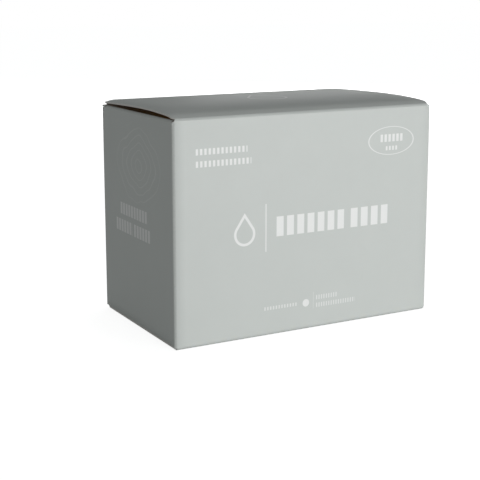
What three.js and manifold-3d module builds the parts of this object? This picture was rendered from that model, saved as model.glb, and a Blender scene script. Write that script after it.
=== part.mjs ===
// A folding carton of laundry pods: one folded sheet of board, its tuck-in lid, and the pods that it holds.
// Millimetres, +Z up. The origin is the centre of the base, and the large front panel faces -Y.
import * as THREE from "three";
import { mergeVertices } from "three/addons/utils/BufferGeometryUtils.js";
import Module from "manifold-3d";

const wasm = await Module();
wasm.setup();

// The closed carton's outside, and its board.
const WIDTH = 192;
const DEPTH = 112;
const HEIGHT = 143;
const BOARD = 0.6;
const CREASE_RADIUS = 1.3;
const CREASE_SEGMENTS = 2;
const CLEARANCE = 0.3;

// The base: flaps from all four walls, glued on each other. The front wall's flap lies outermost, the back
// wall's next, and the two short side flaps innermost.
const FRONT_FLAP_LEVEL = 0;
const BACK_FLAP_LEVEL = BOARD;
const SIDE_FLAP_LEVEL = 2 * BOARD;
const LONG_FLAP_SHORT = 2;
const SIDE_FLAP = 55;

// The top: the side walls fold into dust flaps a little below the front crease.
const SIDE_FOLD_DROP = 1;
const BACK_WALL_DROP = 1.2;
const DUST_FLAP = 46;
const DUST_FLAP_DROOP = THREE.MathUtils.degToRad(18);
const DUST_FLAP_TAPER = 6;
const DUST_FLAP_CORNER = 9;
const DUST_FLAP_REAR_RELIEF = 5.5;

// The lid: hinged on the front crease, arched over the dust flaps, tucked in along the back wall.
const HINGE_GAP = CREASE_RADIUS + 0.15;
const LID_SIDE_INSET = 0.8;
const LID_REAR_LIFT = 2.2;
const LID_ARCH = 2.7;
const LID_ARCH_BIAS = 0.6;
const LID_STEPS = 12;
const LID_REAR_CORNER = 3;
const TUCK_FLAP = 17;
const TUCK_SLANT = THREE.MathUtils.degToRad(12);
const TUCK_SIDE_INSET = 2.2;
const TUCK_CORNER = 9;

// The glue flap inside the back right corner.
const GLUE_FLAP = 16;
const GLUE_FLAP_CHAMFER = 8;

// A pod: a film pillow of liquid with a seal rim, domed above the rim and shallow below it.
const POD_LENGTH = 51;
const POD_BREADTH = 45.6;
const POD_DOME = 14;
const POD_BELLY = 6;
const POD_RIM = 0.8;
const POD_SQUARENESS = 3.4;
const POD_SIDES = 12;

// How the pods lie: even layers of four by two, and a few left on top.
const POD_COLUMNS = 4;
const POD_ROWS = 2;
const POD_LAYERS = 5;
const POD_COLUMN_PITCH = 47.4;
const POD_ROW_PITCH = 55;
const POD_LAYER_PITCH = POD_DOME + POD_BELLY + 0.9;
const POD_YAW = THREE.MathUtils.degToRad(4);
const POD_TILT = THREE.MathUtils.degToRad(2.2);

const DUST_FLAP_FRONT = 2 * CREASE_RADIUS - DEPTH / 2;
const DUST_FLAP_REAR = DEPTH / 2 - DUST_FLAP_REAR_RELIEF;
const SIDE_FOLD_START = HEIGHT - SIDE_FOLD_DROP - CREASE_RADIUS;
const INNER_WIDTH = WIDTH - 2 * BOARD;
const INNER_DEPTH = DEPTH - 2 * BOARD;
const FLOOR_TOP = SIDE_FLAP_LEVEL + BOARD;
const QUARTER_TURN = Math.PI / 2;

const BOARD_MATERIAL = new THREE.MeshStandardMaterial({ color: 0xc4c8c5, roughness: 0.62, metalness: 0 });
const POD_MATERIAL = new THREE.MeshStandardMaterial({ color: 0xc98a2c, roughness: 0.18, metalness: 0 });

// Solids ------------------------------------------------------------------------------------------

// A closed geometry as a solid that can be joined and cut.
function solid(geometry) {
  const bare = geometry.clone();
  bare.deleteAttribute("normal");
  bare.deleteAttribute("uv");
  const merged = mergeVertices(bare);
  return new wasm.Manifold(new wasm.Mesh({
    numProp: 3,
    vertProperties: merged.attributes.position.array,
    triVerts: Uint32Array.from(merged.index.array),
  }));
}

// A solid's surface as a geometry.
function surface(body) {
  const mesh = body.getMesh();
  const geometry = new THREE.BufferGeometry();
  geometry.setAttribute("position", new THREE.BufferAttribute(mesh.vertProperties, 3));
  geometry.setIndex(new THREE.BufferAttribute(mesh.triVerts, 1));
  geometry.computeVertexNormals();
  return geometry;
}

// A box between two corners.
function block([x0, y0, z0], [x1, y1, z1]) {
  const geometry = new THREE.BoxGeometry(x1 - x0, y1 - y0, z1 - z0);
  return solid(geometry.translate((x0 + x1) / 2, (y0 + y1) / 2, (z0 + z1) / 2));
}

// A rectangle centred on the origin with round corners.
function roundedRectangle(width, depth, radius) {
  const x = width / 2 - radius;
  const y = depth / 2 - radius;
  const outline = new THREE.Shape();
  outline.absarc(x, y, radius, 0, Math.PI / 2);
  outline.absarc(-x, y, radius, Math.PI / 2, Math.PI);
  outline.absarc(-x, -y, radius, Math.PI, 1.5 * Math.PI);
  outline.absarc(x, -y, radius, 1.5 * Math.PI, 2 * Math.PI);
  return outline;
}

// An outline in the plane of axes u and v, extruded from low to high along w, where u x v = w.
function extrudeAlong(outline, [u, v, w], low, high) {
  const geometry = new THREE.ExtrudeGeometry(outline, {
    depth: high - low,
    bevelEnabled: false,
    curveSegments: CREASE_SEGMENTS,
  });
  geometry.translate(0, 0, low);
  return solid(geometry.applyMatrix4(new THREE.Matrix4().makeBasis(u, v, w)));
}

const X = new THREE.Vector3(1, 0, 0);
const Y = new THREE.Vector3(0, 1, 0);
const Z = new THREE.Vector3(0, 0, 1);
const ALONG_X = [Y, Z, X];
const ALONG_Y = [X, Z, new THREE.Vector3(0, -1, 0)];
const ALONG_Z = [X, Y, Z];

// The section of a strip of board that runs straight and bends at creases: each leg is a length and the
// turn at its end, to the left if positive.
function bentStrip(start, heading, legs) {
  const at = new THREE.Vector2(...start);
  const ahead = new THREE.Vector2(Math.cos(heading), Math.sin(heading));
  const leftEdge = [];
  const rightEdge = [];
  const origin = new THREE.Vector2();
  const mark = () => {
    const toLeft = new THREE.Vector2(-ahead.y, ahead.x).multiplyScalar(BOARD / 2);
    leftEdge.push(at.clone().add(toLeft));
    rightEdge.push(at.clone().sub(toLeft));
  };
  mark();
  for (const [length, turn] of legs) {
    at.addScaledVector(ahead, length);
    mark();
    if (turn === 0) continue;
    const radius = (CREASE_RADIUS - BOARD / 2) * Math.sign(turn);
    const centre = new THREE.Vector2(-ahead.y, ahead.x).multiplyScalar(radius).add(at);
    for (let step = 0; step < 2 * CREASE_SEGMENTS; step += 1) {
      at.rotateAround(centre, turn / 2 / CREASE_SEGMENTS);
      ahead.rotateAround(origin, turn / 2 / CREASE_SEGMENTS);
      mark();
    }
  }
  return new THREE.Shape([...leftEdge, ...rightEdge.reverse()]);
}

// A flap's outline: it hangs on the line x = 0 between two ends, and narrows to two round corners at its
// reach.
function flapOutline(reach, from, to, taper, corner) {
  const outline = new THREE.Shape();
  outline.moveTo(0, from);
  outline.lineTo(reach - corner, from + taper * (1 - corner / reach));
  outline.quadraticCurveTo(reach, from + taper, reach, from + taper + corner);
  outline.lineTo(reach, to - taper - corner);
  outline.quadraticCurveTo(reach, to - taper, reach - corner, to - taper * (1 - corner / reach));
  outline.lineTo(0, to);
  return outline;
}

// The folded sheet ----------------------------------------------------------------------------------

// The front or back wall with its long base flap, seen from the right: the flap's free edge comes first.
function longWall(side, level, top) {
  const flap = DEPTH - CREASE_RADIUS - LONG_FLAP_SHORT;
  const start = [side * (DEPTH / 2 - CREASE_RADIUS - flap), level + BOARD / 2];
  const legs = [
    [flap, side * QUARTER_TURN],
    [top - level - CREASE_RADIUS, 0],
  ];
  const halfWidth = WIDTH / 2 - CREASE_RADIUS;
  return extrudeAlong(bentStrip(start, side > 0 ? 0 : Math.PI, legs), ALONG_X, -halfWidth, halfWidth);
}

// The right wall with its short base flap and its dust flap, seen from the front.
function rightWall() {
  const start = [WIDTH / 2 - SIDE_FLAP, SIDE_FLAP_LEVEL + BOARD / 2];
  const legs = [
    [SIDE_FLAP - CREASE_RADIUS, QUARTER_TURN],
    [SIDE_FOLD_START - SIDE_FLAP_LEVEL - CREASE_RADIUS, QUARTER_TURN + DUST_FLAP_DROOP],
    [DUST_FLAP, 0],
  ];
  const halfDepth = DEPTH / 2 - CREASE_RADIUS;
  const strip = extrudeAlong(bentStrip(start, 0, legs), ALONG_Y, -halfDepth, halfDepth);

  // Seen from above, the dust flap narrows, and it is cut back at the rear to clear the tuck flap.
  const reach = DUST_FLAP * Math.cos(DUST_FLAP_DROOP) + CREASE_RADIUS;
  const outline = flapOutline(reach, DUST_FLAP_FRONT, DUST_FLAP_REAR, DUST_FLAP_TAPER, DUST_FLAP_CORNER);
  const plan = extrudeAlong(outline, ALONG_Z, 0, HEIGHT).mirror([1, 0, 0]).translate([WIDTH / 2, 0, 0]);
  const flapRoom = block([0, -DEPTH, FLOOR_TOP + BOARD], [INNER_WIDTH / 2, DEPTH, HEIGHT])
    .add(block([0, -DEPTH, SIDE_FOLD_START], [WIDTH, DEPTH, HEIGHT]));
  return strip.subtract(flapRoom.subtract(plan));
}

// The four upright creases, with the walls between them. Beside the dust flaps they stand a little higher.
function uprights() {
  const low = SIDE_FLAP_LEVEL + CREASE_RADIUS;
  const high = HEIGHT - HINGE_GAP;
  const outside = roundedRectangle(WIDTH, DEPTH, CREASE_RADIUS);
  const inside = roundedRectangle(INNER_WIDTH, INNER_DEPTH, CREASE_RADIUS - BOARD);
  const dustFlapRoom = block([-WIDTH, DUST_FLAP_FRONT, SIDE_FOLD_START], [WIDTH, DUST_FLAP_REAR, HEIGHT]);
  return extrudeAlong(outside, ALONG_Z, low, high)
    .subtract(extrudeAlong(inside, ALONG_Z, low - 1, high + 1))
    .subtract(dustFlapRoom);
}

// The glue flap that closes the ring of walls, inside the right wall, with its ends cut back.
function glueFlap() {
  const back = INNER_DEPTH / 2 + BOARD / 2;
  const top = SIDE_FOLD_START - CREASE_RADIUS;
  const bottom = FLOOR_TOP - BOARD / 2;
  const outline = new THREE.Shape([
    new THREE.Vector2(back, bottom),
    new THREE.Vector2(back, top),
    new THREE.Vector2(back - GLUE_FLAP, top - GLUE_FLAP_CHAMFER),
    new THREE.Vector2(back - GLUE_FLAP, bottom + GLUE_FLAP_CHAMFER),
  ]);
  return extrudeAlong(outline, ALONG_X, INNER_WIDTH / 2 - BOARD, INNER_WIDTH / 2 + BOARD / 2);
}

function cartonBody() {
  const sideWall = rightWall();
  const sheet = uprights()
    .add(longWall(-1, FRONT_FLAP_LEVEL, HEIGHT - HINGE_GAP))
    .add(longWall(1, BACK_FLAP_LEVEL, HEIGHT - BACK_WALL_DROP))
    .add(sideWall)
    .add(sideWall.mirror([1, 0, 0]))
    .add(glueFlap());
  return surface(sheet);
}

// The lid -------------------------------------------------------------------------------------------

// Height of the lid's top face over the front crease, from the crease (0) to the rear fold (1).
function lidRise(along) {
  return LID_ARCH * Math.sin(Math.PI * along ** LID_ARCH_BIAS) + LID_REAR_LIFT * along;
}

// The closure panel, the rear fold and the tuck flap as one bent strip of board.
function lid() {
  const front = -DEPTH / 2 + HINGE_GAP;
  const foldY = INNER_DEPTH / 2 - CLEARANCE - CREASE_RADIUS;
  const foldZ = HEIGHT + LID_REAR_LIFT - CREASE_RADIUS;
  const inner = CREASE_RADIUS - BOARD;
  const point = (along, depth) => [front + (foldY - front) * along, HEIGHT + lidRise(along) - depth];
  const tip = (radius) => [
    foldY + radius * Math.cos(TUCK_SLANT) - TUCK_FLAP * Math.sin(TUCK_SLANT),
    foldZ - radius * Math.sin(TUCK_SLANT) - TUCK_FLAP * Math.cos(TUCK_SLANT),
  ];
  const section = new THREE.Shape();
  section.moveTo(...point(0, BOARD));
  for (let step = 1; step < LID_STEPS; step += 1) section.lineTo(...point(step / LID_STEPS, BOARD));
  section.absarc(foldY, foldZ, inner, Math.PI / 2, -TUCK_SLANT, true);
  section.lineTo(...tip(inner));
  section.lineTo(...tip(CREASE_RADIUS));
  section.absarc(foldY, foldZ, CREASE_RADIUS, -TUCK_SLANT, Math.PI / 2, false);
  for (let step = LID_STEPS - 1; step >= 0; step -= 1) section.lineTo(...point(step / LID_STEPS, 0));

  const halfWidth = WIDTH / 2 - LID_SIDE_INSET;
  const strip = extrudeAlong(section, ALONG_X, -halfWidth, halfWidth);

  // Seen from above, the rear corners are rounded. Seen from behind, the tuck flap's corners are.
  const reach = foldY + CREASE_RADIUS - front + 1;
  const plan = flapOutline(reach, -halfWidth, halfWidth, 0, LID_REAR_CORNER);
  const panel = extrudeAlong(plan, ALONG_Z, 0, 2 * HEIGHT).rotate([0, 0, 90]).translate([0, front, 0]);
  const tuckHalf = halfWidth - TUCK_SIDE_INSET;
  const tuckReach = TUCK_FLAP * Math.cos(TUCK_SLANT) + 2 * CREASE_RADIUS;
  const drop = flapOutline(tuckReach, -tuckHalf, tuckHalf, TUCK_SIDE_INSET, TUCK_CORNER);
  const tuck = extrudeAlong(drop, ALONG_Z, -DEPTH, DEPTH).rotate([0, 90, 0]).rotate([0, 0, 90])
    .translate([0, 0, foldZ + CREASE_RADIUS / 2]);
  const above = block([-WIDTH, -DEPTH, foldZ], [WIDTH, DEPTH, 2 * HEIGHT])
    .add(block([-WIDTH, -DEPTH, 0], [WIDTH, foldY - 2 * CREASE_RADIUS - TUCK_FLAP, 2 * HEIGHT]));
  return surface(strip.intersect(panel).intersect(tuck.add(above)));
}

// The pods ------------------------------------------------------------------------------------------

// A closed pillow: a turned profile whose circles are drawn out to rounded rectangles.
function podGeometry() {
  const profile = [
    [0, -POD_BELLY],
    [0.62, -POD_BELLY * 0.8],
    [1, -POD_RIM / 2],
    [1, POD_RIM / 2],
    [0.79, POD_RIM],
    [0.68, POD_DOME * 0.7],
    [0, POD_DOME],
  ];
  const pillow = new THREE.LatheGeometry(profile.map(([r, z]) => new THREE.Vector2(r, z)), POD_SIDES);
  pillow.rotateX(Math.PI / 2);
  pillow.rotateZ(Math.PI / POD_SIDES);
  const points = pillow.attributes.position;
  for (let index = 0; index < points.count; index += 1) {
    const x = points.getX(index);
    const y = points.getY(index);
    const radius = Math.hypot(x, y);
    const corner = (Math.abs(x) ** POD_SQUARENESS + Math.abs(y) ** POD_SQUARENESS) ** (1 / POD_SQUARENESS);
    const stretch = corner > 0 ? radius / corner : 0;
    points.setX(index, x * stretch * POD_BREADTH / 2);
    points.setY(index, y * stretch * POD_LENGTH / 2);
  }
  return surface(solid(pillow));
}

// A repeatable value from -1 to 1 for each pod and each way that it may lie askew.
function askew(number, way) {
  const seed = Math.sin(number * 12.9898 + way * 78.233) * 43758.5453;
  return 2 * (seed - Math.floor(seed)) - 1;
}

// The pods left on top, where others have been taken out: place, and turn about Z, X and Y in degrees.
const TOP_PODS = [
  { x: 71, y: 26, lift: 0.4, yaw: 3, tiltX: 2, tiltY: -2 },
  { x: 70, y: -27, lift: 0.6, yaw: -5, tiltX: -3, tiltY: 3 },
  { x: 21, y: 25, lift: 2.6, yaw: 14, tiltX: 4, tiltY: 8 },
  { x: -30, y: 24, lift: 3.2, yaw: -24, tiltX: -7, tiltY: 6 },
  { x: 12, y: -28, lift: 3.4, yaw: 78, tiltX: 6, tiltY: -9 },
];

function pods() {
  const geometry = podGeometry();
  const group = new THREE.Group();
  const place = (x, y, low, turn, domeDown) => {
    const pod = new THREE.Mesh(geometry, POD_MATERIAL);
    pod.name = `pod_${String(group.children.length + 1).padStart(2, "0")}`;
    pod.position.set(x, y, low + (domeDown ? POD_DOME : POD_BELLY));
    pod.rotation.set(turn.x + (domeDown ? Math.PI : 0), turn.y, turn.z, "ZXY");
    group.add(pod);
  };
  const floor = FLOOR_TOP + 2 * CLEARANCE;
  for (let layer = 0; layer < POD_LAYERS; layer += 1) {
    for (let row = 0; row < POD_ROWS; row += 1) {
      for (let column = 0; column < POD_COLUMNS; column += 1) {
        const number = group.children.length;
        const turn = {
          x: askew(number, 1) * POD_TILT,
          y: askew(number, 2) * POD_TILT,
          z: askew(number, 3) * POD_YAW,
        };
        const x = (column - (POD_COLUMNS - 1) / 2) * POD_COLUMN_PITCH - CLEARANCE;
        const y = (row - (POD_ROWS - 1) / 2) * POD_ROW_PITCH;
        place(x, y, floor + CLEARANCE + layer * POD_LAYER_PITCH, turn, askew(number, 4) < -0.3);
      }
    }
  }
  for (const top of TOP_PODS) {
    const turn = {
      x: THREE.MathUtils.degToRad(top.tiltX),
      y: THREE.MathUtils.degToRad(top.tiltY),
      z: THREE.MathUtils.degToRad(top.yaw),
    };
    place(top.x, top.y, floor + POD_LAYERS * POD_LAYER_PITCH + top.lift, turn, false);
  }
  return group;
}

const carton = new THREE.Group();
const body = new THREE.Mesh(cartonBody(), BOARD_MATERIAL.clone());
body.name = "carton_body";
const closure = new THREE.Mesh(lid(), BOARD_MATERIAL.clone());
closure.name = "lid";
carton.add(body, closure, pods());

export default carton;
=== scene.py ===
import math

import bmesh
import bpy
from mathutils import Matrix, Vector


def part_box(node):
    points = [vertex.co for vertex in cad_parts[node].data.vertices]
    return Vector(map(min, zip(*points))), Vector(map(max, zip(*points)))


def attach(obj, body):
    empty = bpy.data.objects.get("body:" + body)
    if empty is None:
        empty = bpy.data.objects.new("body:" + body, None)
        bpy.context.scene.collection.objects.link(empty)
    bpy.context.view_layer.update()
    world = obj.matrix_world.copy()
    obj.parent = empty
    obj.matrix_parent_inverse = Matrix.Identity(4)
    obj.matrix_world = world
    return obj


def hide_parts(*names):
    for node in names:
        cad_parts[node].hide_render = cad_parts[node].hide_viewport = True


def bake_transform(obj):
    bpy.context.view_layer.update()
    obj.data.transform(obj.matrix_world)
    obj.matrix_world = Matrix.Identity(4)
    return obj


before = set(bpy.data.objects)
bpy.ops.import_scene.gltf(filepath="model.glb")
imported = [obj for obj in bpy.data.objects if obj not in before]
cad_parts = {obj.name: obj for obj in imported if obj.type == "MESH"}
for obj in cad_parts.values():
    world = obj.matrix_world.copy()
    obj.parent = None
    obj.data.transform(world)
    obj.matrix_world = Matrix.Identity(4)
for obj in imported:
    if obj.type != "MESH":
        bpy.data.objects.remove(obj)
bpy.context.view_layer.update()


# The folded sheet --------------------------------------------------------------------------------
# One blank of 0.6 mm coated boxboard, printed grey-green outside with matt film over the ink. It is
# creased and folded round four walls, and a flap glued inside the back right corner closes the ring.

mm = 0.001
sheet_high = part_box("carton_body")[1]
side_x = sheet_high.x
wall_y = sheet_high.y
carton_top = 143 * mm
board = 0.6 * mm
crease_radius = 1.5 * mm
touching = 1e-6
quarter = math.pi / 2
X, Y, Z = Vector((1, 0, 0)), Vector((0, 1, 0)), Vector((0, 0, 1))


def edge_from(bm, start, end):
    """The first edge of a blank, between two corners."""
    return [bm.edges.new([bm.verts.new(start), bm.verts.new(end)])]


def carry_on(bm, edges, run):
    """Carries the board on, flat, from these edges."""
    grown = bmesh.ops.extrude_edge_only(bm, edges=edges)["geom"]
    corners = [g for g in grown if isinstance(g, bmesh.types.BMVert)]
    bmesh.ops.translate(bm, verts=corners, vec=run)
    return [g for g in grown if isinstance(g, bmesh.types.BMEdge) and all(v in corners for v in g.verts)]


def fold(bm, edges, centre, axis, angle, steps=6, flatness=0.7):
    """Folds the board round a crease, from these edges, and gives the edges where it ends. Pressing the
    crease leaves a narrow flat band along it, so its round is drawn in towards a chamfer."""
    ends = list({v for e in edges for v in e.verts})
    before = set(bm.verts)
    turned = bmesh.ops.spin(bm, geom=ends + edges, cent=centre, axis=axis, dvec=(0, 0, 0),
                            angle=angle, steps=steps)["geom_last"]
    spoke = lambda p: (p - Vector(centre)) - (p - Vector(centre)).dot(axis) * axis
    middle = (Matrix.Rotation(angle / 2, 3, axis) @ spoke(ends[0].co)).normalized()
    for v in set(bm.verts) - before:
        out = spoke(v.co)
        chamfer = math.cos(angle / 2) / max(0.2, out.normalized().dot(middle))
        v.co += out * flatness * (chamfer - 1)
    return [g for g in turned if isinstance(g, bmesh.types.BMEdge)]


def slice_at(bm, places, direction):
    """Cuts new edges across the whole board wherever it passes these places along a direction."""
    for place in places:
        bmesh.ops.bisect_plane(bm, geom=bm.verts[:] + bm.edges[:] + bm.faces[:], dist=1e-7,
                               plane_co=direction * place, plane_no=direction)


def edges_where(bm, test):
    """The open edges whose two ends both pass a test."""
    return [e for e in bm.edges if e.is_boundary and all(test(v.co) for v in e.verts)]


def smooth(amount):
    """0 to 1 with an eased start and end."""
    amount = max(0.0, min(1.0, amount))
    return amount * amount * (3 - 2 * amount)


# The walls, from the raw edge at the back right corner: right, front, left, back, then the glue flap.
glue_line = 0.03 * mm
side_fold_drop = 1 * mm
foot = 2 * (board + glue_line) + crease_radius
shoulder = carton_top - side_fold_drop - crease_radius
flat_x, flat_y = side_x - crease_radius, wall_y - crease_radius
blank = bmesh.new()
edge = edge_from(blank, (side_x, flat_y, foot), (side_x, flat_y, shoulder))
edge = carry_on(blank, edge, -2 * flat_y * Y)
edge = fold(blank, edge, (flat_x, -flat_y, 0), Z, -quarter)
edge = carry_on(blank, edge, -2 * flat_x * X)
edge = fold(blank, edge, (-flat_x, -flat_y, 0), Z, -quarter)
edge = carry_on(blank, edge, 2 * flat_y * Y)
edge = fold(blank, edge, (-flat_x, flat_y, 0), Z, -quarter)
edge = carry_on(blank, edge, (2 * flat_x - board) * X)
edge = fold(blank, edge, (flat_x - board, flat_y, 0), Z, -quarter)
glue_flap, glue_flap_chamfer = 14.7 * mm, 8 * mm
edge = carry_on(blank, edge, -glue_flap * Y)
for corner in edge[0].verts:
    corner.co.z += glue_flap_chamfer * (1 if corner.co.z < carton_top / 2 else -1)

# The dust flaps hang on the side walls, between two short cuts.
cut_front, cut_rear = -wall_y + 2 * crease_radius, wall_y - 5.5 * mm
slice_at(blank, [cut_front, cut_rear], Y)
on_side = lambda p, side: abs(p.x - side * side_x) < touching
droop = math.radians(18)
dust_reach, dust_taper, dust_corner = 46 * mm, 6 * mm, 9 * mm
for side in (-1, 1):
    edge = edges_where(blank, lambda p: on_side(p, side) and p.z > shoulder - touching
                       and cut_front - touching < p.y < cut_rear + touching)
    edge = fold(blank, edge, (side * flat_x, 0, shoulder), Y, -side * (quarter + droop))
    edge = carry_on(blank, edge, dust_reach * Vector((-side * math.cos(droop), 0, -math.sin(droop))))
    tip = list({v for e in edge for v in e.verts})
    for corner in tip:
        corner.co.y += dust_taper if corner.co.y < 0 else -dust_taper
    bmesh.ops.bevel(blank, geom=tip, affect="VERTICES", offset=dust_corner, segments=8, profile=0.5,
                    material=-1)

# Beside the flaps' cuts, and along the front and back, the walls stand up to the lid.
front_rim = carton_top - crease_radius
back_rim = carton_top - 1.2 * mm
rim_round = 0.7 * mm
edge = edges_where(blank, lambda p: abs(p.z - shoulder) < touching and not (
    abs(p.x) > side_x - touching and cut_front + touching < p.y < cut_rear - touching))
edge = [e for e in edge if not all(cut_front - touching < v.co.y < cut_rear + touching for v in e.verts)]
edge = carry_on(blank, edge, (front_rim - shoulder) * Z)
for corner in {v for e in edge for v in e.verts}:
    if corner.co.y > cut_rear - touching:
        corner.co.z = back_rim
    elif abs(corner.co.x) > flat_x:
        corner.co.z -= rim_round * ((abs(corner.co.x) - flat_x) / crease_radius) ** 2

# The base: the front wall's flap lies outermost, the back wall's on it, and the side flaps innermost.
side_flap, long_flap_short = 55 * mm, 2 * mm
for side in (-1, 1):
    edge = edges_where(blank, lambda p: on_side(p, side) and p.z < foot + touching
                       and abs(p.y) < flat_y + touching)
    edge = fold(blank, edge, (side * flat_x, 0, foot), Y, side * quarter)
    carry_on(blank, edge, -side * (side_flap - crease_radius) * X)
for side, level in ((-1, 0.0), (1, board + glue_line)):
    edge = edges_where(blank, lambda p: abs(p.z - foot) < touching and side * p.y > flat_y - touching)
    edge = carry_on(blank, edge, (level + crease_radius - foot) * Z)
    edge = [e for e in edge if all(abs(v.co.y - side * wall_y) < touching for v in e.verts)]
    edge = fold(blank, edge, (0, side * flat_y, level + crease_radius), X, -side * quarter)
    carry_on(blank, edge, -side * (2 * wall_y - crease_radius - long_flap_short) * Y)

# The board isn't quite flat: the walls belly out a little where the pods lie against them.
wall_grid = 8 * mm
long_belly, short_belly = 0.45 * mm, 0.3 * mm
slice_at(blank, [i * wall_grid for i in range(-11, 12)], X)
slice_at(blank, [i * wall_grid for i in range(-6, 7)], Y)
slice_at(blank, [i * wall_grid for i in range(1, 17)], Z)
bmesh.ops.remove_doubles(blank, verts=blank.verts[:], dist=touching)
bmesh.ops.recalc_face_normals(blank, faces=blank.faces[:])


def belly(bm):
    """Pushes the walls out, most at their middles and not at all along their creases."""
    for v in bm.verts:
        p = v.co
        up = math.sin(math.pi * min(1, max(0, (p.z - foot) / (shoulder - foot))))
        if abs(abs(p.y) - wall_y) < touching:
            across = math.cos(math.pi * p.x / (2 * side_x))
            p.y += math.copysign(long_belly * across * up, p.y)
        elif abs(abs(p.x) - side_x) < touching:
            across = math.cos(math.pi * p.y / (2 * wall_y))
            p.x += math.copysign(short_belly * across * up, p.x)


belly(blank)


def as_board(bm, name, thickness=board):
    """A folded sheet with the board's thickness: printed face, inside face and raw edge."""
    mesh = bpy.data.meshes.new(name)
    bm.to_mesh(mesh)
    bm.free()
    piece = bpy.data.objects.new(name, mesh)
    bpy.context.scene.collection.objects.link(piece)
    for finish in ("board print", "board inside", "board edge"):
        mesh.materials.append(bpy.data.materials.get(finish) or bpy.data.materials.new(finish))
    wall = piece.modifiers.new("board thickness", "SOLIDIFY")
    wall.thickness, wall.offset = thickness, -1
    wall.use_even_offset = True
    wall.material_offset, wall.material_offset_rim = 1, 2
    thick = bpy.data.meshes.new_from_object(piece.evaluated_get(bpy.context.evaluated_depsgraph_get()))
    piece.modifiers.clear()
    piece.data = thick
    thick.name = name
    thick.polygons.foreach_set("use_smooth", [True] * len(thick.polygons))
    thick.set_sharp_from_angle(angle=math.radians(40))
    return piece


carton_sheet = as_board(blank, "carton_sheet")
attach(carton_sheet, "carton")
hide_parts("carton_body")


# The board's finishes ----------------------------------------------------------------------------
# Outside, ink under matt film, with plain printed shapes on the front, the left wall and the lid.
# Inside, bare grey-white board with its fibres showing. At every cut edge, pale layers of pulp.

class Field:
    """A value that varies over a surface. Arithmetic on it adds Math nodes to its finish."""

    def __init__(self, finish, socket):
        self.finish, self.socket = finish, socket

    def maths(self, operation, *values):
        node = self.finish.node("ShaderNodeMath", {"operation": operation},
                                {i: v for i, v in enumerate(values)})
        return Field(self.finish, node.outputs[0])

    def __add__(self, other):
        return self.maths("ADD", self, other)

    def __radd__(self, other):
        return self.maths("ADD", other, self)

    def __sub__(self, other):
        return self.maths("SUBTRACT", self, other)

    def __rsub__(self, other):
        return self.maths("SUBTRACT", other, self)

    def __mul__(self, other):
        return self.maths("MULTIPLY", self, other)

    def __rmul__(self, other):
        return self.maths("MULTIPLY", other, self)

    def __truediv__(self, other):
        return self.maths("DIVIDE", self, other)

    def __abs__(self):
        return self.maths("ABSOLUTE", self)

    def power(self, other):
        return self.maths("POWER", self, other)

    def root(self):
        return self.maths("SQRT", self)

    def fraction(self):
        return self.maths("FRACT", self)

    def least(self, other):
        return self.maths("MINIMUM", self, other)

    def most(self, other):
        return self.maths("MAXIMUM", self, other)

    def clamped(self):
        return self.most(0.0).least(1.0)

    def flipped(self):
        return 1.0 - self

    def under(self, limit, soft):
        """1 where the value is under the limit, 0 over it, with a soft edge."""
        return ((limit - self) / soft + 0.5).clamped()


class Finish:
    """One material, or the sky, built up from nodes."""

    def __init__(self, name, sky=None):
        self.material = sky or bpy.data.materials.get(name) or bpy.data.materials.new(name)
        self.material.use_nodes = True
        self.tree = self.material.node_tree
        self.tree.nodes.clear()
        self.output = self.node("ShaderNodeOutputWorld" if sky else "ShaderNodeOutputMaterial", {}, {})

    def node(self, kind, settings, sockets):
        made = self.tree.nodes.new(kind)
        for name, value in settings.items():
            if name == "stops":
                ramp = made.color_ramp.elements
                while len(ramp) < len(value):
                    ramp.new(0.5)
                for stop, (place, colour) in zip(ramp, value):
                    stop.position, stop.color = place, colour
            else:
                setattr(made, name, value)
        for name, value in sockets.items():
            if isinstance(value, Field):
                value = value.socket
            if isinstance(value, bpy.types.NodeSocket):
                self.tree.links.new(value, made.inputs[name])
            else:
                made.inputs[name].default_value = value
        return made

    def place(self):
        """Position on the object, in millimetres."""
        coordinates = self.node("ShaderNodeTexCoord", {}, {})
        scaled = self.node("ShaderNodeMapping", {}, {"Vector": coordinates.outputs["Object"],
                                                     "Scale": (1000, 1000, 1000)})
        return scaled.outputs[0]

    def axes(self):
        parts = self.node("ShaderNodeSeparateXYZ", {}, {0: self.place()})
        return [Field(self, out) for out in parts.outputs]

    def noise(self, scale, detail=3.0, where=None):
        made = self.node("ShaderNodeTexNoise", {}, {"Vector": where or self.place(), "Scale": scale,
                                                    "Detail": detail, "Roughness": 0.6})
        return Field(self, made.outputs[0])

    def blend(self, amount, first, second):
        """A colour between two others."""
        mixed = self.node("ShaderNodeMix", {"data_type": "RGBA"}, {0: amount, 6: first, 7: second})
        return mixed.outputs[2]

    def bump(self, height, strength, distance):
        made = self.node("ShaderNodeBump", {}, {"Height": height, "Strength": strength,
                                                "Distance": distance})
        return made.outputs[0]

    def shader(self, sockets):
        return self.node("ShaderNodeBsdfPrincipled", {}, sockets).outputs[0]

    def mixed(self, amount, first, second):
        """One shader laid over another by an amount."""
        return self.node("ShaderNodeMixShader", {}, {0: amount, 1: first, 2: second}).outputs[0]

    def show(self, shader):
        """Gives the finish its last shader."""
        self.tree.links.new(shader, self.output.inputs[0])
        return self.material


def colour(r, g, b):
    return (r, g, b, 1.0)


ink_deep = colour(0.536, 0.565, 0.545)
ink_pale = colour(0.575, 0.602, 0.582)
ink_white = colour(0.79, 0.80, 0.79)


def box_mask(across, up, left, right, low, high, soft=0.25):
    """1 inside a printed rectangle."""
    wide = abs(across - (left + right) / 2).under((right - left) / 2, soft)
    tall = abs(up - (low + high) / 2).under((high - low) / 2, soft)
    return wide * tall


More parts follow.
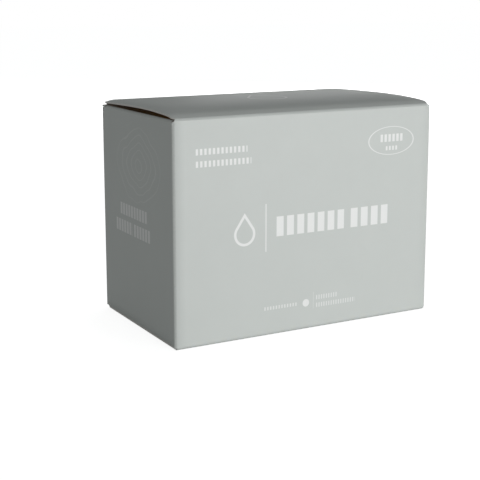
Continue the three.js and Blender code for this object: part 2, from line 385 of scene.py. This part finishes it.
def block_row(across, up, left, right, low, high, pitch, share):
    """A row of plain upright blocks: each takes a share of the pitch."""
    step = ((across - left) / pitch).fraction() * pitch
    blocks = abs(step - pitch * share / 2).under(pitch * share / 2, 0.3)
    return box_mask(across, up, left, right, low, high) * blocks


def drop_outline(across, up, axis, low, ball):
    """1 on the outline of a plain drop: a round ball with two straight sides drawn to a point above it."""
    lean, rise = math.cos(math.radians(34)), math.sin(math.radians(34))
    from_axis, from_low = abs(across - axis), up - low
    around = (from_axis * from_axis + from_low * from_low).root() - ball
    slope = from_axis * lean + (from_low - ball / rise) * rise
    slope = slope.most((ball * rise - from_low) * 4)
    return abs(around.least(slope)).under(0.85, 0.35)


def board_print():
    """Ink and matt film on the outside of the walls, with the print of the front and left walls."""
    finish = Finish("board print")
    x, y, z = finish.axes()
    across, up = x + side_x / mm, z

    # Front wall: two short rows, a drop and a rule, the title's blocks, an oval stamp, the foot row.
    marks = block_row(across, up, 15, 50.6, 120.2, 124.0, 2.9, 0.55)
    marks = marks.most(block_row(across, up, 15, 53.3, 112.7, 116.5, 2.9, 0.55))
    marks = marks.most(block_row(across, up, 71.4, 122.7, 64.5, 77.3, 7.69, 0.68))
    marks = marks.most(block_row(across, up, 127.9, 157.7, 64.5, 77.3, 8.1, 0.68))
    marks = marks.most(box_mask(across, up, 63.4, 64.1, 55.4, 86.2))
    marks = marks.most(drop_outline(across, up, 48.5, 68.2, 6.7))
    oval = (((across - 159.6) / 18.1).power(2.0) + ((up - 120.0) / 9.25).power(2.0)).root()
    marks = marks.most(abs(oval - 1.0).under(0.022, 0.03))
    marks = marks.most(block_row(across, up, 150.8, 169.1, 119.3, 124.3, 3.2, 0.62))
    marks = marks.most(block_row(across, up, 155.2, 165.0, 113.6, 116.4, 2.6, 0.55))
    marks = marks.most(block_row(across, up, 62.8, 87.0, 16.8, 19.1, 2.1, 0.5) * 0.75)
    dot = ((across - 94.0).power(2.0) + (up - 17.8).power(2.0)).root()
    marks = marks.most(dot.under(2.5, 0.3))
    marks = marks.most(box_mask(across, up, 99.5, 100.0, 13.2, 24.4) * 0.35)
    marks = marks.most(block_row(across, up, 101.8, 118, 19.0, 22.0, 1.9, 0.45) * 0.75)
    marks = marks.most(block_row(across, up, 101.9, 132.5, 13.8, 16.8, 1.9, 0.45) * 0.75)
    marks = marks * y.under(0.8 - wall_y / mm, 0.1)

    # Lid: a faint drop, seen from the front.
    marks = marks.most(drop_outline(x, y, 3.5, 4.0, 13.0) * z.under(144, 0.2).flipped() * 0.7)

    # Left wall: two rows of blocks, and faint ripple lines above them.
    beside = x.under(0.8 - side_x / mm, 0.1)
    from_back = 60.0 - y
    rows = block_row(from_back, up, 34, 76.5, 72.3, 80.1, 4.4, 0.7)
    rows = rows.most(block_row(from_back, up, 26.5, 53.4, 60.4, 68.6, 4.4, 0.7))
    rows = rows.most(block_row(from_back, up, 56, 81.3, 60.4, 68.6, 4.4, 0.7))
    ripple = ((y + 4.0) / 30).power(2.0) + ((up - 108) / 22).power(2.0)
    sway = finish.noise(0.05, 1.0)
    ring = ((ripple.root() * 4.2 + sway * 2.2).fraction() - 0.5)
    ring = abs(ring).under(0.07, 0.08) * ripple.root().under(1.15, 0.3)

    # Fine tone of the film over the ink; along the upright creases, rubbed wear and a painted highlight.
    cloud = finish.noise(0.035, 2.0)
    grain = finish.noise(2.2, 4.0)
    crease_patches = finish.noise(0.9, 4.0)
    near_fold = ((abs(x) - (flat_x / mm - 0.1)).clamped() * (abs(y) - (flat_y / mm - 0.1)).clamped())
    # Paler patches on the upright creases: partly rubbed wear, partly a painted highlight.
    crease_wear_and_highlight = (near_fold * 4).clamped() * (crease_patches - 0.35).clamped() * 1.2
    tone = (cloud * 0.7 + grain * 0.3).clamped()
    base = finish.blend(tone, ink_deep, ink_pale)
    base = finish.blend(crease_wear_and_highlight.clamped(), base, colour(0.68, 0.69, 0.67))
    base = finish.blend(marks.most(rows * beside * 0.9), base, ink_white)
    base = finish.blend(ring * beside * 0.3, base, ink_white)
    height = grain * 0.6 + finish.noise(0.5, 3.0) * 0.4
    return finish.show(finish.shader({
        "Base Color": base,
        "Roughness": 0.5 + grain * 0.12 - marks * 0.06,
        "Specular IOR Level": 0.42,
        "Normal": finish.bump(height, 0.12, 0.00012),
    }))


def board_inside():
    """The uncoated white-grey back of the board, with its fibres showing."""
    finish = Finish("board inside")
    where = finish.node("ShaderNodeMapping", {}, {"Vector": finish.place(), "Scale": (0.5, 3.2, 3.2)})
    fibre = finish.noise(0.9, 6.0, where.outputs[0])
    fleck = finish.noise(2.6, 2.0)
    cloud = finish.noise(0.05, 2.0)
    base = finish.blend((cloud * 0.6 + fibre * 0.4).clamped(), colour(0.74, 0.725, 0.69),
                        colour(0.84, 0.83, 0.80))
    base = finish.blend(((fleck - 0.63) * 5).clamped() * 0.4, base, colour(0.45, 0.43, 0.39))
    return finish.show(finish.shader({
        "Base Color": base,
        "Roughness": 0.82 + fibre * 0.12,
        "Specular IOR Level": 0.3,
        "Normal": finish.bump(fibre + fleck * 0.4, 0.35, 0.00015),
    }))


def board_edge():
    """The board's cut edge: pale layers of pulp, a little furred."""
    finish = Finish("board edge")
    fur = finish.noise(3.5, 4.0)
    base = finish.blend(fur, colour(0.56, 0.55, 0.52), colour(0.76, 0.75, 0.72))
    return finish.show(finish.shader({"Base Color": base, "Roughness": 0.9 + fur * 0.08,
                                      "Normal": finish.bump(fur, 0.4, 0.0001)}))


board_print()
board_inside()
board_edge()


# The lid -----------------------------------------------------------------------------------------
# The closure panel of the same board. It springs up into a low arch over the dust flaps, folds down
# at the back, and its tuck flap slides in behind the back wall. Nothing but friction holds it shut.
# Its cut edge is made fuller than the sheet, 0.9 mm against 0.6.

lid_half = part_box("lid")[1].x
lid_front = -wall_y + crease_radius
lid_fold_y = wall_y - board - 0.3 * mm - crease_radius
lid_lift = 2.2 * mm
lid_fold_z = carton_top + lid_lift - crease_radius
lid_thickness = 0.9 * mm
front_inset = 1.6 * mm
tuck_slant = math.radians(12)
tuck_length = 17 * mm
tuck_half = lid_half - 2.2 * mm
lid_corner, ear_corner = 9 * mm, 2.1 * mm
lid_arch = 2.7 * mm
lid_steps = 20


def lid_rise(along):
    """How far the panel stands above the front crease, from the front, 0, to the back fold, 1."""
    return lid_arch * math.sin(math.pi * along ** 0.6) + lid_lift * along


panel = bmesh.new()
edge = edge_from(panel, (lid_half, lid_front, carton_top), (-lid_half, lid_front, carton_top))
for step in range(lid_steps):
    rise = lid_rise((step + 1) / lid_steps) - lid_rise(step / lid_steps)
    edge = carry_on(panel, edge, (lid_fold_y - lid_front) / lid_steps * Y + rise * Z)
slice_at(panel, [-tuck_half, tuck_half], X)
edge = edges_where(panel, lambda p: p.y > lid_fold_y - touching and abs(p.x) < tuck_half + touching)
edge = fold(panel, edge, (0, lid_fold_y, lid_fold_z), X, -(quarter + tuck_slant))
edge = carry_on(panel, edge, -tuck_length * Vector((0, math.sin(tuck_slant), math.cos(tuck_slant))))
tip = [v for v in {v for e in edge for v in e.verts} if abs(v.co.x) > tuck_half - touching]
bmesh.ops.bevel(panel, geom=tip, affect="VERTICES", offset=lid_corner, segments=8, profile=0.5, material=-1)
ears = [v for v in panel.verts if abs(v.co.x) > lid_half - touching and v.co.y > lid_fold_y - touching]
bmesh.ops.bevel(panel, geom=ears, affect="VERTICES", offset=ear_corner, segments=5, profile=0.5,
                material=-1)
near_sides = [side * x * mm for side in (-1, 1) for x in (88, 90.5, 92, 93.5)]
slice_at(panel, [i * 10 * mm for i in range(-8, 9)] + near_sides, X)
slice_at(panel, [lid_front + reach * mm for reach in (0.8, 1.8, 3.2)], Y)
slice_at(panel, [i * 4 * mm for i in range(32, 36)], Z)
bmesh.ops.remove_doubles(panel, verts=panel.verts[:], dist=touching)
bmesh.ops.recalc_face_normals(panel, faces=panel.faces[:])
if max(panel.faces, key=lambda f: f.calc_center_median().z).normal.z < 0:
    bmesh.ops.reverse_faces(panel, faces=panel.faces[:])
for v in panel.verts:
    # The panel's side edges settle towards the dust flaps, and its front corners are cut back.
    along = (v.co.y - lid_front) / (lid_fold_y - lid_front)
    at_side = abs(v.co.x) / mm
    sag = (0.5 + 0.6 * along) * mm if v.co.x < 0 else 0.4 * mm
    v.co.z -= sag * smooth(along / 0.2) * smooth((at_side - 88) / 7)
    cut_back = front_inset * (1 - min(1, max(0, v.co.y - lid_front) / (4 * mm))) ** 2
    v.co.x = math.copysign(min(abs(v.co.x), lid_half - cut_back), v.co.x)
lid_sheet = as_board(panel, "lid_sheet", lid_thickness)
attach(lid_sheet, "lid")
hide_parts("lid")


# The front crease --------------------------------------------------------------------------------
# The scored strip that joins the front wall to the lid: board pressed thin along a line, so that it
# bends there. It is the lid's only hinge. On the real carton it rolls round as the lid is opened; here
# it is built in its closed shape only.

crease = bmesh.new()
crease_half = flat_x + 0.3 * mm
edge = edge_from(crease, (crease_half, -wall_y, front_rim), (-crease_half, -wall_y, front_rim))
edge = fold(crease, edge, (0, -flat_y, front_rim), X, -quarter, steps=8)
slice_at(crease, [i * 10 * mm for i in range(-9, 10)], X)
for v in crease.verts:
    risen = (v.co.z - front_rim) / (carton_top - front_rim)
    v.co.x = math.copysign(min(abs(v.co.x), crease_half - (front_inset - 0.2 * mm) * risen * risen), v.co.x)
bmesh.ops.remove_doubles(crease, verts=crease.verts[:], dist=1e-7)
bmesh.ops.recalc_face_normals(crease, faces=crease.faces[:])
if max(crease.faces, key=lambda f: f.calc_center_median().z).normal.z < 0:
    bmesh.ops.reverse_faces(crease, faces=crease.faces[:])
front_crease = as_board(crease, "front_crease")
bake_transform(front_crease)


# The pods ----------------------------------------------------------------------------------------
# Each is a dose of amber liquid sealed between two sheets of water-soluble film. The lower film stays
# shallow, the upper one domes over the liquid and an air bubble, and a wavy flange is left all round.

pod_length, pod_breadth = 51 * mm, 45.6 * mm
pod_dome, pod_belly = 14 * mm, 6 * mm


def askew(number, way):
    """A fixed uneven value from -1 to 1 for each pod and each way that it can lie off square."""
    seed = math.sin(number * 12.9898 + way * 78.233) * 43758.5453
    return 2 * (seed - math.floor(seed)) - 1


def rounded(x, y, squareness):
    """Draws a circle's point out to a rounded square."""
    radius = math.hypot(x, y)
    corner = (abs(x) ** squareness + abs(y) ** squareness) ** (1 / squareness)
    return (x * radius / corner, y * radius / corner) if corner > 0 else (0.0, 0.0)


def pod_pillow(profile, steps, kind):
    """A turned pillow drawn out square, with a wavy edge and creases that run in from its corners."""
    bm = bmesh.new()
    line = [bm.verts.new((r, 0, z)) for r, z in profile]
    rail = [bm.edges.new(pair) for pair in zip(line, line[1:])]
    bmesh.ops.spin(bm, geom=line + rail, cent=(0, 0, 0), axis=Z, dvec=(0, 0, 0), angle=math.tau,
                   steps=steps, use_merge=True)
    bmesh.ops.remove_doubles(bm, verts=bm.verts[:], dist=1e-5)
    bmesh.ops.holes_fill(bm, edges=[e for e in bm.edges if e.is_boundary], sides=0)
    bmesh.ops.recalc_face_normals(bm, faces=bm.faces[:])
    for v in bm.verts:
        x, y, z = v.co
        radius, turn = math.hypot(x, y), math.atan2(y, x)
        flange = smooth((radius - 0.8) / 0.2)
        wave = math.sin(turn * 9 + kind * 2.1) * 0.6 + math.sin(turn * 23 + kind * 4.3) * 0.4
        squarish = abs(math.sin(2 * turn)) ** 3
        pucker = (math.sin(turn * 22 + kind * 3.3) * squarish + 0.3 * math.sin(turn * 31 + kind)) \
            * smooth((radius - 0.35) / 0.4) * (1 - flange)
        draw_in = 1 - 0.03 * flange * (2 + math.sin(turn * 13 + kind * 1.7) + math.sin(turn * 29 + kind)) \
            + 0.014 * pucker
        px, py = rounded(x * draw_in, y * draw_in, 3.6)
        lift = 1.1 * wave * flange - 0.5 * flange * squarish + 0.5 * pucker
        v.co = (px * pod_breadth / 2, py * pod_length / 2, (z + lift) * mm)
    return bm


belly_side = [(0.02, -5.7), (0.3, -5.6), (0.5, -5.2), (0.65, -4.0), (0.74, -1.7), (0.785, 0.05)]
dome_side = [(0.785, 0.3), (0.775, 2.6), (0.755, 5.6), (0.72, 8.6), (0.65, 11.2), (0.54, 12.8),
             (0.36, 13.5), (0.02, 13.7)]
flange_edge = [(0.86, 0.05), (0.93, 0.05), (1.0, 0.05), (1.0, 0.25), (0.93, 0.25), (0.86, 0.25)]
cavity = [(r - 0.028 if r > 0.1 else r, z * 0.95) for r, z in belly_side + dome_side]


def pod_film(kind):
    """The two films, welded together round the flange."""
    return pod_pillow(belly_side + flange_edge + dome_side, 96, kind)


def pod_liquid(kind, dome_down):
    """The liquid: it fills the film up to a flat face, with the air bubble over it."""
    bm = pod_pillow(cavity, 48, kind)
    level, up = (-2.4 * mm, -1) if dome_down else (9.6 * mm, 1)
    bmesh.ops.bisect_plane(bm, geom=bm.verts[:] + bm.edges[:] + bm.faces[:], dist=touching,
                           plane_co=(0, 0, level), plane_no=(0, 0, up), clear_outer=True)
    bmesh.ops.holes_fill(bm, edges=[e for e in bm.edges if e.is_boundary], sides=0)
    bmesh.ops.recalc_face_normals(bm, faces=bm.faces[:])
    return bm


def film_finish():
    """Clear, glossy, crinkled film with a little haze."""
    finish = Finish("pod film")
    crinkle = finish.noise(0.16, 3.0)
    ridge = 1 - (abs(crinkle - 0.5) * 8).clamped()
    fine = finish.noise(1.1, 2.0)
    normal = finish.bump(ridge + fine * 0.2, 0.7, 0.0009)
    clear = finish.node("ShaderNodeBsdfTransparent", {}, {"Color": colour(0.97, 0.955, 0.95)})
    gloss = finish.shader({"Base Color": colour(0.97, 0.96, 0.96), "Metallic": 1.0, "Roughness": 0.0,
                           "Normal": normal})
    haze = finish.shader({"Base Color": colour(0.9, 0.86, 0.84), "Roughness": 0.45, "Normal": normal})
    mirrored = finish.node("ShaderNodeFresnel", {}, {"IOR": 1.45, "Normal": normal})
    edgewise = finish.node("ShaderNodeLayerWeight", {}, {"Blend": 0.3, "Normal": normal})
    shine = (Field(finish, mirrored.outputs[0]) * 1.2).clamped()
    milk = (Field(finish, edgewise.outputs["Facing"]).power(3.0) * 0.25 + 0.01 + ridge * 0.035).clamped()
    return finish.show(finish.mixed(milk, finish.mixed(shine, clear.outputs[0], gloss), haze))


def liquid_finish():
    """Amber liquid: deep and clear, with golden patches where light gathers in its folds. A faint glow
    stands in for the light that is scattered inside it."""
    finish = Finish("pod liquid")
    cloud = finish.noise(0.06, 2.0)
    gathered = ((finish.noise(0.11, 2.5) - 0.5) * 7).clamped()
    base = finish.blend(cloud, colour(0.96, 0.58, 0.07), colour(1.0, 0.76, 0.12))
    glow = finish.blend(gathered, colour(0.28, 0.13, 0.01), colour(1.0, 0.66, 0.06))
    return finish.show(finish.shader({
        "Base Color": base, "Roughness": 0.02, "IOR": 1.38, "Transmission Weight": 0.6,
        "Coat Weight": 0.4, "Coat Roughness": 0.0, "Emission Color": glow, "Emission Strength": 0.035}))


film_material, liquid_material = film_finish(), liquid_finish()
patterns = {}
for kind in range(4):
    for dome_down in (False, True):
        patterns["film", kind, dome_down] = pod_film(kind)
        patterns["liquid", kind, dome_down] = pod_liquid(kind, dome_down)


def lay_pod(number, place, turn, dome_down):
    """Puts one pod down: its film, and the liquid in it."""
    where = Matrix.Translation(place) @ Matrix.Rotation(turn[2], 4, "Z") @ \
        Matrix.Rotation(turn[0] + (math.pi if dome_down else 0), 4, "X") @ Matrix.Rotation(turn[1], 4, "Y")
    node = f"pod_{number + 1:02d}"
    parts = (("film", film_material, "pod_film"), ("liquid", liquid_material, "pod_liquid"))
    for part, material, slot in parts:
        mesh = bpy.data.meshes.new(f"{node}_{part}")
        patterns[part, number % 4, dome_down].to_mesh(mesh)
        mesh.transform(where)
        mesh.polygons.foreach_set("use_smooth", [True] * len(mesh.polygons))
        mesh.set_sharp_from_angle(angle=math.radians(55))
        mesh.materials.append(material)
        piece = bpy.data.objects.new(f"{node}_{part}", mesh)
        bpy.context.scene.collection.objects.link(piece)
        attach(piece, "carton")
        if part == "film":
            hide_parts(node)


pod_floor = 2.7 * mm
column_pitch, row_pitch, layer_pitch = 47.4 * mm, 55 * mm, 20.9 * mm
aside = 0.3 * mm
top_layer = 112.9
number = 0
for layer in range(5):
    for row in range(2):
        for column in range(4):
            dome_down = askew(number, 4) < -0.3
            place = Vector(((column - 1.5) * column_pitch - aside, (row - 0.5) * row_pitch,
                            pod_floor + layer * layer_pitch + (pod_dome if dome_down else pod_belly)))
            turn = [math.radians(limit) * askew(number, way) for way, limit in ((1, 2.2), (2, 2.2), (3, 4))]
            lay_pod(number, place, turn, dome_down)
            number += 1
top_pods = [(71, 26, 0.4, 3, 2, -2), (70, -27, 0.6, -5, -3, 3), (21, 25, 2.6, 14, 4, 8),
            (-30, 24, 3.2, -24, -7, 6), (12, -28, 3.4, 78, 6, -9)]
for x, y, lift, yaw, tilt_x, tilt_y in top_pods:
    place = Vector((x, y, top_layer + lift)) * mm
    lay_pod(number, place, [math.radians(tilt_x), math.radians(tilt_y), math.radians(yaw)], False)
    number += 1
for pattern in patterns.values():
    pattern.free()


# The studio --------------------------------------------------------------------------------------
# A pale floor, a broad soft light low in front, a paler panel behind, and a camera at table height.

scene = bpy.context.scene
scene.view_settings.view_transform = "Standard"


def seen_clearly(finish):
    """1 where the surroundings are seen straight, through a clear thing, or mirrored in a bright one."""
    rays = finish.node("ShaderNodeLightPath", {}, {}).outputs
    through = Field(finish, rays["Is Transmission Ray"]).most(Field(finish, rays["Is Singular Ray"]))
    return Field(finish, rays["Is Camera Ray"]).most(through)


def studio_white(name, tone, glow):
    """Pale and even to the camera, with soft shadows left in it."""
    finish = Finish(name)
    shade = finish.node("ShaderNodeBsdfDiffuse", {}, {"Color": colour(tone, tone, tone)})
    light = finish.node("ShaderNodeEmission", {}, {"Color": colour(1, 1, 1), "Strength": glow})
    both = finish.node("ShaderNodeAddShader", {}, {0: shade.outputs[0], 1: light.outputs[0]})
    return finish.show(finish.mixed(seen_clearly(finish), shade.outputs[0], both.outputs[0]))


ground = bmesh.new()
bmesh.ops.create_grid(ground, x_segments=2, y_segments=2, size=6.0)
bmesh.ops.translate(ground, verts=ground.verts[:], vec=(0, 0, -0.0002))
floor_mesh = bpy.data.meshes.new("floor")
ground.to_mesh(floor_mesh)
ground.free()
floor_mesh.materials.append(studio_white("studio floor", 0.75, 0.8))
floor = bpy.data.objects.new("floor", floor_mesh)
scene.collection.objects.link(floor)

sky = Finish("studio", bpy.data.worlds.new("studio"))
fill = sky.node("ShaderNodeBackground", {}, {"Color": colour(0.98, 1.0, 1.0), "Strength": 0.265})
backdrop = sky.node("ShaderNodeBackground", {}, {"Color": colour(1, 1, 1), "Strength": 1.0})
scene.world = sky.show(sky.mixed(seen_clearly(sky), fill.outputs[0], backdrop.outputs[0]))


def soft_light(name, place, aim, width, height, power):
    """A soft rectangular lamp that the camera can't see."""
    lamp = bpy.data.lights.new(name, "AREA")
    lamp.shape, lamp.size, lamp.size_y, lamp.energy = "RECTANGLE", width, height, power
    light = bpy.data.objects.new(name, lamp)
    light.location = place
    light.rotation_euler = (Vector(aim) - Vector(place)).to_track_quat("-Z", "Y").to_euler()
    light.visible_camera = False
    scene.collection.objects.link(light)


soft_light("key", (0.4, -1.5, 0.07), (0, 0, 0.07), 1.0, 0.2, 18.8)
soft_light("side fill", (-1.4, 0.1, 0.06), (0, 0, 0.07), 0.8, 0.12, 0.7)
soft_light("rear panel", (1.25, 1.45, 0.24), (0, 0, 0.13), 1.1, 0.2, 6.5)
soft_light("overhead", (0.12, 0.1, 1.25), (0, 0, 0.1), 0.16, 0.07, 0.3)
soft_light("rear fill", (0.55, 1.3, 0.03), (0, 0, 0.07), 0.9, 0.06, 6)

target = Vector((-31.12, -20.39, 87.99)) * mm
azimuth, elevation, roll = math.radians(-28.75), math.radians(10.26), math.radians(-0.08)
back = Vector((math.sin(azimuth) * math.cos(elevation), -math.cos(azimuth) * math.cos(elevation),
               math.sin(elevation)))
lens = bpy.data.cameras.new("camera")
lens.lens, lens.sensor_width, lens.clip_start, lens.clip_end = 82.83, 36, 0.01, 50
lens.shift_y = -0.1
camera = bpy.data.objects.new("camera", lens)
camera.location = target + back * 723.0 * mm
facing = (-back).to_track_quat("-Z", "Y").to_matrix()
camera.rotation_euler = (facing @ Matrix.Rotation(roll, 3, "Z")).to_euler()
scene.collection.objects.link(camera)
scene.camera = camera
